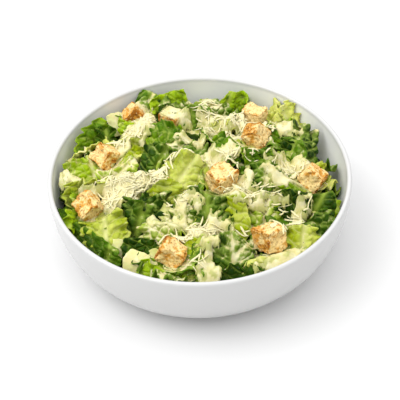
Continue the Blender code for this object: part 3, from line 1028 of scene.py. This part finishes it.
def strewMiddles(rng, count):
    # a cluster drawn by its share of the cheese, then a place in it by a bell curve, and a heading
    shares = np.array([row[3] for row in cheeseRows], float)
    pick = rng.choice(len(cheeseRows), size=count, p=shares / shares.sum())
    middle, scatter, lie = (np.array([row[k] for row in cheeseRows], float)[pick] for k in range(3))
    lie = np.radians(lie)
    most = cheese["strayMost"]
    stray = np.clip(rng.normal(size=(count, 2)), -most, most) * scatter * cheese["stray"]
    middle[:, 0] += stray[:, 0] * np.cos(lie) - stray[:, 1] * np.sin(lie)
    middle[:, 1] += stray[:, 0] * np.sin(lie) + stray[:, 1] * np.cos(lie)
    return middle, lie + rng.normal(size=count) * cheese["turned"]


def flatPaths(rng, middle, heading, length, s):
    # equal strides whose heading bows and sways along the strip, kept inside the wall
    one = (len(heading), 1)
    bow = rng.normal(size=one) * 0.25 * s
    sway = rng.normal(size=one) * 0.08 * np.sin(s * 9)
    angle = heading[:, None] + bow + sway
    stride = (length / (len(s) - 1))[:, None]
    x = np.cumsum(np.cos(angle) * stride, axis=1)
    y = np.cumsum(np.sin(angle) * stride, axis=1)
    x += middle[:, :1] - x.mean(axis=1, keepdims=True)
    y += middle[:, 1:] - y.mean(axis=1, keepdims=True)
    inward = np.minimum(1, (rimRadius - bowlLook["wall"] - cheese["wallGap"]) / np.hypot(x, y))
    return x * inward, y * inward


def drape(lying):
    # each point drawn to the mean of itself and its neighbours, but never under what it lies on
    z = lying.copy()
    for _ in range(10):
        beside = np.pad(z, ((0, 0), (1, 1)), mode="edge")
        z = np.maximum(lying, (beside[:, :-2] + beside[:, 2:] + z) / 3)
    beside = np.pad(z, ((0, 0), (1, 1)), mode="edge")
    return (beside[:, :-2] + beside[:, 2:] + 2 * z) / 4


def stripRings(rng, path, width, s, look):
    # a ring of points carried along each path: flattened, rolled, ragged and thin at both ends
    count, steps, sides = len(path), len(s), look["sides"]
    one = (count, 1, 1)
    along = unit(np.gradient(path, axis=1))
    across = unit(np.cross(along, np.array([0, 0, 1.0])))
    up = np.cross(across, along)
    roll = rng.normal(size=one) * 0.35 + rng.normal(size=one) * s[None, :, None]
    across, up = across * np.cos(roll) + up * np.sin(roll), up * np.cos(roll) - across * np.sin(roll)
    turn = np.linspace(0, 2 * math.pi, sides, endpoint=False)
    taper = (1 - np.abs(2 * s) ** 5 * 0.75)[None, :, None]
    ragged = 1 + look["ragged"] * rng.normal(size=(count, steps, sides))
    wide = width[:, None, None]
    outX = np.cos(turn) * wide / 2 * taper * ragged
    outZ = np.sin(turn) * look["thick"] / 2 * taper * (1 + 0.3 * rng.normal(size=one))
    curl = 0.12 * (outX ** 2) / np.maximum(wide, 1) * rng.normal(size=one)
    sideways = across[:, :, None] * outX[..., None]
    return path[:, :, None] + sideways + up[:, :, None] * (outZ + curl)[..., None]


def stripFaces(count, steps, sides):
    # a tube for each strip, and both of its ends closed with flat strips of faces
    pairs = np.arange(sides // 2 - 1)
    cap = np.stack([pairs, pairs + 1, sides - 2 - pairs, (sides - 1 - pairs) % sides], axis=1)
    tube = gridFaces(steps, sides, closed=True)[:, ::-1]
    body = np.concatenate([tube, cap, cap[:, ::-1] + (steps - 1) * sides])
    return repeatFaces(body, count, steps * sides)


def strewStrips(name, look, material):
    # strips laid over the heap, without those that would stand on a crouton or too steep
    rng = np.random.default_rng(look["seed"])
    count, steps = look["count"], cheese["points"]
    s = np.linspace(-0.5, 0.5, steps)
    middle, heading = strewMiddles(rng, count)
    length = rng.uniform(*look["length"], size=count)
    width = rng.uniform(*look["wide"], size=count)
    x, y = flatPaths(rng, middle, heading, length, s)
    free = (fromBread(x, y).min(axis=1) > cheese["breadGap"]) | (rng.random(count) < cheese["onBread"])
    z = drape(heightAt(topped, x, y)) + rng.uniform(*cheese["sink"], size=(count, 1))
    free &= np.ptp(z, axis=1) < 0.35 * length + 0.6
    rings = stripRings(rng, np.stack([x, y, z], axis=-1), width, s, look)
    faces = stripFaces(int(free.sum()), steps, look["sides"])
    makePiece(name, rings[free].reshape(-1, 3), faces, material)


def makeCheese():
    # fine shreds, then a few wide shavings
    material = hardCheese()
    strewStrips("cheeseShreds", cheese["shreds"], material)
    strewStrips("cheeseShavings", cheese["shavings"], material)


topped = spread(np.maximum(surface, heightMap()), "mean")
makeCheese()

pepper = {"grains": 420, "size": (0.22, 0.5), "inset": 14, "above": 0.3}


def makePepper():
    # eight-sided grains strayed over the heap
    rng = np.random.default_rng(15)
    count = pepper["grains"]
    away = (rimRadius - pepper["inset"]) * np.sqrt(rng.random(count))
    turn = rng.uniform(0, 2 * math.pi, count)
    x, y = away * np.cos(turn), away * np.sin(turn)
    middle = np.stack([x, y, heightAt(topped, x, y) + pepper["above"]], axis=1)
    corners = np.array([[1, 0, 0], [0, 1, 0], [-1, 0, 0], [0, -1, 0], [0, 0, 1], [0, 0, -1]], float)
    size = rng.uniform(*pepper["size"], size=(count, 1, 1)) * rng.uniform(0.6, 1.3, size=(count, 6, 1))
    points = middle[:, None] + corners * size
    k = np.arange(4)
    top = np.stack([k, (k + 1) % 4, np.full(4, 4)], axis=1)
    body = np.concatenate([top, top[:, [1, 0, 2]] + [0, 0, 1]])
    faces = repeatFaces(body, count, 6)
    makePiece("crackedPepper", points.reshape(-1, 3), faces, blackPepper())


makePepper()


studio = {
    "floorSize": 6.0,
    "skyLow": 0.05,  # brightness at the horizon, and overhead from skyTop upwards
    "skyHigh": 1.68,
    "skyTop": 0.8,
    "keyPower": 16.0,
    "keyPlace": (-1.1, -0.3, 1.6),
    "keySize": 1.5,
    "lookAt": (-0.0001, -0.0344, 0.072),
    "pitch": 44.62,
    "roll": -1.53,
    "distance": 0.782,
    "lens": 91.9,
}


def makeFloor():
    # a pale square on the ground, no part of the salad
    half = studio["floorSize"] / 2
    mesh = bpy.data.meshes.new("floor")
    corners = [(-half, -half, 0), (half, -half, 0), (half, half, 0), (-half, half, 0)]
    mesh.from_pydata(corners, [], [(0, 1, 2, 3)])
    mesh.materials.append(startMaterial("paleFloor", paint["floor"], 0.9)[0])
    addObject("floor", mesh)


def makeLight():
    # a sky that brightens upwards, and one soft lamp from the upper left
    look = studio
    world = bpy.data.worlds.new("softSky")
    bpy.context.scene.world = world
    world.use_nodes = True
    tree = world.node_tree
    direction = addNode(tree, "TexCoord", {}).outputs["Generated"]
    upwards = addNode(tree, "SeparateXYZ", {"Vector": direction}).outputs["Z"]
    brightness = ramp(tree, upwards, 0.0, look["skyTop"], look["skyLow"], look["skyHigh"])
    fillIn(tree, tree.nodes["Background"], {"Color": (1, 1, 1), "Strength": brightness})

    lamp = bpy.data.lights.new("softBox", "AREA")
    lamp.shape = "DISK"
    lamp.size = look["keySize"]
    lamp.energy = look["keyPower"]
    key = addObject("softBox", lamp)
    key.location = look["keyPlace"]
    key.rotation_euler = (-key.location).to_track_quat("-Z", "Y").to_euler()


def makeCamera():
    # looks down at lookAt from the front by the pitch, and is rolled a little
    look = studio
    camera = bpy.data.cameras.new("camera")
    camera.lens = look["lens"]
    camera.sensor_width = 36
    camera.clip_start = 0.01
    viewer = addObject("camera", camera)
    down = math.radians(look["pitch"])
    back = np.array([0, -math.cos(down), math.sin(down)]) * look["distance"]
    viewer.location = np.array(look["lookAt"]) + back
    turn = turnAbout("x", 90 - look["pitch"]) @ turnAbout("z", look["roll"])
    viewer.rotation_euler = Matrix(turn.tolist()).to_euler()
    bpy.context.scene.camera = viewer
    bpy.context.scene.view_settings.view_transform = "Standard"


makeFloor()
makeLight()
makeCamera()
